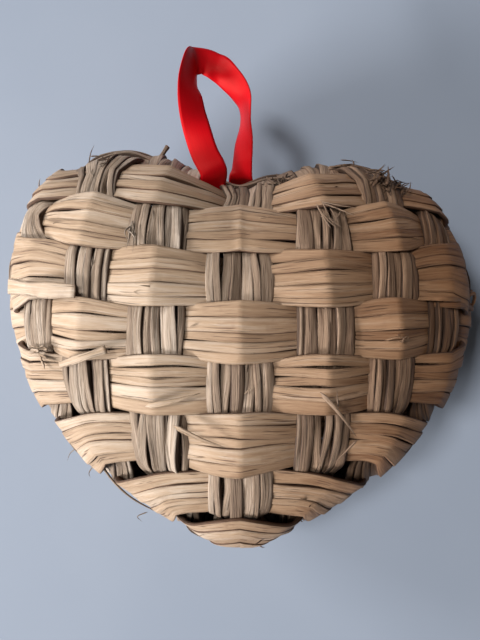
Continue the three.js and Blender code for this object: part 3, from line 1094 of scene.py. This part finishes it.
@dataclass
class BundleMesh:
    """The strips of one band as one mesh piece, with its loose fibres."""

    loom: Loom
    band: Band
    style: StripStyle
    seed: int
    hair: HairStyle = HairStyle()
    ends: BladeStyle = BladeStyle()
    same_place: float = 1e-7

    def __post_init__(self) -> None:
        """Starts the mesh and the source of chance."""
        self.rng = np.random.default_rng(self.seed)
        self.bm = new_mesh()
        self.paleness = self.bm.verts.layers.float.new("tone")

    def build(self) -> bpy.types.Object:
        """Models the strips.

        Returns:
            The piece, not yet dressed.
        """
        shares = self.rng.uniform(1 - self.style.uneven, 1 + self.style.uneven, self.style.count)
        shares /= np.sum(shares)
        middles = np.cumsum(shares) - shares / 2
        tones = self.rng.permutation(np.linspace(*self.style.tone, self.style.count))
        for k, (middle, share, tone) in enumerate(zip(middles, shares, tones)):
            self.strip(k, float(middle), float(share), float(tone))
        name = self.band.hoop.name
        loose = list(LOOSE.get(name, ()))
        for fray in FRAYS.get(name, ()):
            loose += fray.fibres(self.rng)
        for item in loose + self.stray():
            self.blade(item)
        return new_piece(self.bm, f"{name}_strips")

    def stray(self) -> list[Loose]:
        """Short hairs that stand off the strips here and there.

        Returns:
            The hairs.
        """
        made = []
        rng, hair, band, middle = self.rng, self.hair, self.band, len(self.band.sides) // 2
        for _ in range(hair.count):
            k = int(rng.integers(0, len(band.height) - hair.stations - 1))
            side = middle + int(rng.integers(-hair.side_steps, hair.side_steps + 1))
            out = band.normals[k, middle]
            root = band.feet[k, side] + out * (band.height[k] + hair.lift)
            way = unit(band.feet[k + hair.stations, middle] - band.feet[k, middle]) * rng.choice((-1, 1))
            tip = root + way * rng.uniform(*hair.length)
            tip = tip + out * rng.uniform(*hair.rise) + rng.normal(0, hair.spread, 3)
            bend = (root + tip) / 2 + out * rng.uniform(0, hair.bend)
            width, tone = rng.uniform(*hair.width), float(rng.uniform(*hair.tone))
            made.append(Loose(width, tone, (root, bend, tip)))
        return made

    def blade(self, item: Loose) -> None:
        """Adds one loose fibre: a thin closed blade that comes to a point, or ends bluntly.

        Args:
            item: the fibre.
        """
        ends, spans = self.ends, len(item.points) - 1
        share = np.linspace(0, 1, ends.span_steps * spans + 1)
        full = 1 - share ** 2
        if item.blunt:
            inner = np.linspace(ends.blunt_inset, 1 - ends.blunt_inset, ends.span_steps * spans)
            share = np.concatenate([[0, ends.blunt_end], inner, [1 - ends.blunt_end, 1]])
            full = 1 - ends.waver * np.cos(share * ends.waver_rate)
        full[0] = full[-1] = 0
        line = curve(np.array(item.points, dtype=float), share * spans, even=True)
        _, normal = self.loom.weave.form.settle(line)
        forward = unit(np.gradient(line, axis=0))
        across = unit(np.cross(normal, forward))
        lift = unit(np.cross(forward, across))
        sides, squareness = ends.wide_section if item.width > ends.narrow else ends.narrow_section
        x, y = section(np.linspace(-np.pi / 2, 3 * np.pi / 2, sides + 1), squareness)
        sideways = across[:, None] * (full * item.width / 2)[:, None, None] * x[:, None]
        upwards = lift[:, None] * (full * item.thickness)[:, None, None] * y[:, None]
        points = self.loom.finished(line[:, None] + sideways + upwards)
        points[:, -1] = points[:, 0]
        length = float(np.sum(np.linalg.norm(np.diff(line, axis=0), axis=1)))
        self.wrap(points, item.tone, length / self.band.length)

    def wrap(self, points: Array, tone: float, run: float = 1.0) -> None:
        """Adds a tube whose rings are the rows of a grid of points.

        Args:
            points: the rings, each of which ends where it begins.
            tone: how pale it is.
            run: its length as a share of the whole bundle's, for the scale of its fibres.
        """
        corners = lay_grid(self.bm, points)
        uv = self.bm.loops.layers.uv["UVMap"]
        for vert in corners:
            vert[self.paleness] = tone
            if run < 1:
                for loop in vert.link_loops:
                    loop[uv].uv.x *= run
        bmesh.ops.remove_doubles(self.bm, verts=corners, dist=self.same_place)

    @staticmethod
    def around(steps: int) -> Array:
        """Angles round a strip's section from its underside, closer together over its upper side.

        Args:
            steps: how many steps the section has.

        Returns:
            The angles in radians, the last of which is the first again.
        """
        below = max(1, steps // 6)
        side = np.linspace(0, np.pi / 2, below + 1)[:-1]
        top = np.linspace(0, np.pi, steps - 2 * below + 1)
        return np.concatenate([side - np.pi / 2, top, (side + np.pi)[1:], [3 * np.pi / 2]])

    def strip(self, k: int, place: float, share: float, tone: float) -> None:
        """Adds one closed strip to the mesh.

        Args:
            k: number of the strip across the bundle.
            place: its middle across the bundle, 0 to 1.
            share: its share of the bundle's width.
            tone: how pale this strip is.
        """
        rng, band, style = self.rng, self.band, self.style
        slow = max(3, round(band.length / style.slow_wave))
        fast = max(6, round(band.length / style.fast_wave))
        slot = 2 * place - 1

        def noise(most: int, amount: float) -> Array:
            """A smooth random run along the strip."""
            return closed_noise(rng, len(band.height), slow, most, amount)

        half = band.half_width * share * style.overlap * (1 + noise(fast, style.width_noise))
        half = np.maximum(half, style.least_half_width)
        centre = slot * band.half_width + noise(2 * slow, style.wander)
        level = (1 - slot * slot) * style.crown - style.crown / 2 + style.stagger * (0.5 if k % 2 else -0.5)
        level = level + noise(2 * slow, style.stagger * style.level_noise)
        roll = -slot * style.crown * style.lean + rng.normal(0, style.roll) + noise(2 * slow, style.roll)
        thick = style.thickness * (1 + noise(fast, style.thickness_noise))
        phi = self.around(style.round_steps)
        turns = round(band.length / style.turn_every) * rng.choice((-1, 1))
        turn = turns * 2 * np.pi * band.along / band.length + noise(fast, style.turn_noise)
        turn = turn + rng.uniform(0, 6)
        ridge = 1 + style.ridge_depth * np.cos(style.ridges * phi + turn[:, None])
        x, y = section(phi, style.squareness)
        x, y = half[:, None] * x * ridge, thick[:, None] * y * ridge
        cos_r, sin_r = np.cos(roll)[:, None], np.sin(roll)[:, None]
        across = centre[:, None] + x * cos_r - y * sin_r
        above = level[:, None] + x * sin_r + y * cos_r
        across[:, -1], above[:, -1] = across[:, 0], above[:, 0]
        points = self.loom.place(band, across, above)
        points[-1] = points[0]
        self.wrap(points, tone)


@dataclass
class RibbonLoop:
    """The satin ribbon: a flat strip along its centre line, in millimetres about the heart's middle."""

    loom: Loom
    width: float = 10.0
    thickness: float = 0.3
    stations: int = 150
    across_steps: int = 10
    cup: float = 0.35
    cup_level: float = 0.4
    # Points of the centre line, each with the way that the ribbon's width points there.
    route: tuple[tuple[Triple, Triple], ...] = (
        ((-11, 56.5, 10), (0.97, 0.2, 0)),
        ((-10.2, 60, 15.5), (0.95, 0.3, 0)),
        ((-9.6, 64.1, 20.5), (0.92, 0.38, 0)),
        ((-12.8, 70.5, 21), (0.95, 0.33, 0)),
        ((-15.2, 77.6, 21.5), (0.95, 0.3, 0)),
        ((-17.1, 85.1, 21.5), (0.92, 0.16, -0.34)),
        ((-18, 91.2, 21), (0.85, 0.11, -0.52)),
        ((-18.7, 97.7, 20), (0.58, 0, -0.81)),
        ((-17.9, 105.4, 17), (0.24, -0.86, -0.46)),
        ((-16.4, 108.1, 13.5), (0.12, -0.99, 0)),
        ((-13.3, 108.4, 12), (0, -1, 0)),
        ((-10, 106.9, 12), (-0.22, -0.97, 0)),
        ((-7, 104.9, 12.3), (-0.38, -0.86, -0.35)),
        ((-4.3, 102, 12.5), (-0.47, -0.65, -0.59)),
        ((-1.1, 98.4, 12), (-0.48, -0.48, -0.74)),
        ((1.1, 94.5, 11), (-0.41, -0.32, -0.85)),
        ((1.9, 90.6, 10), (-0.37, -0.03, -0.93)),
        ((1.9, 86, 9), (-0.39, 0, -0.92)),
        ((1.7, 81.2, 8), (-0.58, 0, -0.81)),
        ((1.2, 76.5, 6.5), (-0.7, 0, -0.72)),
        ((0.8, 71.8, 5), (-0.73, 0, -0.69)),
        ((0.5, 67.2, 2.5), (-0.8, 0, -0.6)),
        ((0.4, 65.6, -2), (-0.95, 0, -0.3)),
        ((0.3, 65, -7.5), (-1, 0, 0)),
    )

    def build(self) -> tuple[bpy.types.Object, float]:
        """Models the ribbon.

        Returns:
            The piece, and its length in metres.
        """
        places = np.linspace(0, len(self.route) - 1, self.stations + 1)
        line, way = (curve(np.array(rows, dtype=float), places, even=True) for rows in zip(*self.route))
        forward = unit(np.gradient(line, axis=0))
        across = unit(way - forward * np.sum(way * forward, axis=1, keepdims=True))
        face = np.cross(forward, across)
        side = np.linspace(-1, 1, self.across_steps + 1)[None, :, None]
        bow = (side * side - self.cup_level) * self.cup
        grid = line[:, None] + across[:, None] * side * self.width / 2 + face[:, None] * bow
        shift = np.array([0, -self.loom.weave.origin_y, self.loom.rest])
        bm = new_mesh()
        lay_grid(bm, (grid + shift) * MM)
        piece = new_piece(bm, "satin_ribbon")
        wall = piece.modifiers.new("thickness", "SOLIDIFY")
        wall.thickness = self.thickness * MM
        wall.offset = 0
        return piece, float(np.sum(np.linalg.norm(np.diff(line, axis=0), axis=1))) * MM


@dataclass(frozen=True)
class Window:
    """A soft square light that faces the heart, in metres and watts."""

    name: str
    place: Triple
    side: float
    power: float
    aim: Triple = (0, 0, 0.04)
    tint: Triple = (1.0, 0.985, 0.965)

    def add(self) -> None:
        """Adds the light to the scene."""
        data = bpy.data.lights.new(self.name, "AREA")
        data.shape = "SQUARE"
        data.size = self.side
        data.energy = self.power
        data.color = self.tint
        light = linked(self.name, data)
        light.location = self.place
        light.rotation_euler = (Vector(self.aim) - Vector(self.place)).to_track_quat("-Z", "Y").to_euler()


@dataclass
class Studio:
    """Pale cloth-coloured floor, three soft lights from the left, and the camera straight above."""

    loom: Loom
    camera_height: float = 210.0
    camera_y: float = 10.0
    focal_pixels: float = 520.0
    image_height: float = 640.0
    sensor_height: float = 24.0
    nearest: float = 0.005
    floor_half: float = 6.0
    floor_drop: float = 0.0002
    floor_colours: tuple[Triple, ...] = ((0.34, 0.395, 0.495), (0.37, 0.425, 0.525))
    windows: tuple[Window, ...] = (
        Window("low_window", (-1.7, -0.98, 0.75), 0.6, 54.5),
        Window("high_window", (-0.9, 0.3, 1.75), 0.32, 17.0),
        Window("far_window", (-1.7, 0.98, 0.75), 0.6, 21.5),
    )
    room_colour: Triple = (1.0, 0.93, 0.86)
    room_strength: float = 0.062

    def camera(self) -> None:
        """Adds the camera at the photograph's angle."""
        data = bpy.data.cameras.new("camera")
        data.sensor_fit = "VERTICAL"
        data.sensor_height = self.sensor_height
        data.lens = self.sensor_height * self.focal_pixels / self.image_height
        data.clip_start = self.nearest
        camera = linked("camera", data)
        height = self.loom.rest + self.camera_height
        camera.location = (0.0, (self.camera_y - self.loom.weave.origin_y) * MM, height * MM)
        bpy.context.scene.camera = camera

    def floor(self) -> None:
        """Adds the floor at the height that the heart rests on."""
        bm = bmesh.new()
        bmesh.ops.create_grid(bm, x_segments=1, y_segments=1, size=self.floor_half)
        floor = new_piece(bm, "floor")
        floor.location.z = -self.floor_drop
        g = Graph("pale_floor")
        cloud = g.noise(g.node("ShaderNodeTexCoord", output="Object"), 9.0, 3, 0.5)
        colour = g.mix(g.span(cloud, 0.3, 0.7), *self.floor_colours)
        g.finish(None, 0, 0, Base_Color=colour, Roughness=0.9)
        floor.data.materials.append(g.material)

    def lights(self) -> None:
        """Adds the lights on the left and the faint light of the room."""
        for window in self.windows:
            window.add()
        world = bpy.data.worlds.new("studio")
        world.use_nodes = True
        background = world.node_tree.nodes["Background"]
        background.inputs["Color"].default_value = (*self.room_colour, 1)
        background.inputs["Strength"].default_value = self.room_strength
        bpy.context.scene.world = world
        bpy.context.scene.view_settings.view_transform = "Standard"


@dataclass
class WovenHeart:
    """All the pieces of the heart."""

    loom: Loom = field(default_factory=Loom)
    first_seed: int = 100

    def dress(self, piece: bpy.types.Object, material: bpy.types.Material, node: str) -> None:
        """Gives a piece its material and its body, and hides the solid that it stands for.

        Args:
            piece: the piece.
            material: its finish.
            node: the solid it replaces.
        """
        piece.data.materials.append(material)
        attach(piece, ROOT)
        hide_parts(node)
        LOG.info("%s: %d faces", piece.name, len(piece.data.polygons))

    def weave(self) -> None:
        """Models and dresses every bundle."""
        # The darkest colour of each finish is that of the cracks and of the painted shade along the strips'
        # sides.
        strip = LeafFinish("dry_leaf_strip", dark=(0.25, 0.135, 0.07), mid=(0.52, 0.36, 0.235),
                           pale=(0.72, 0.6, 0.49), stain=(0.3, 0.18, 0.11), crack_and_gap_shade=(0.1, 0.045, 0.024)).make()
        strand = LeafFinish("twisted_leaf", dark=(0.15, 0.09, 0.058), mid=(0.42, 0.31, 0.225),
                            pale=(0.72, 0.61, 0.51), stain=(0.2, 0.13, 0.09), crack_and_gap_shade=(0.06, 0.03, 0.017),
                            gloss=0.62, relief=0.00045).make()
        for number, hoop in enumerate(self.loom.weave.hoops()):
            band = self.loom.band(hoop)
            piece = BundleMesh(self.loom, band, STYLES[hoop.kind], seed=self.first_seed + number).build()
            if hoop.kind is Bundle.WEFT:
                self.dress(piece, strip, hoop.name)
            else:
                self.dress(piece, strand, hoop.name)

    def ribbon(self) -> None:
        """Models and dresses the ribbon."""
        loop = RibbonLoop(self.loom)
        piece, length = loop.build()
        self.dress(piece, SatinFinish().make(), "ribbon_loop")
        loop.width * MM


def main() -> None:
    """Builds the scene and reports its pieces."""
    logging.basicConfig(level=logging.INFO, format="%(name)s %(message)s")
    heart = WovenHeart()
    studio = Studio(heart.loom)
    studio.camera()
    heart.weave()
    heart.ribbon()
    studio.floor()
    studio.lights()


if __name__ == "__main__":
    main()
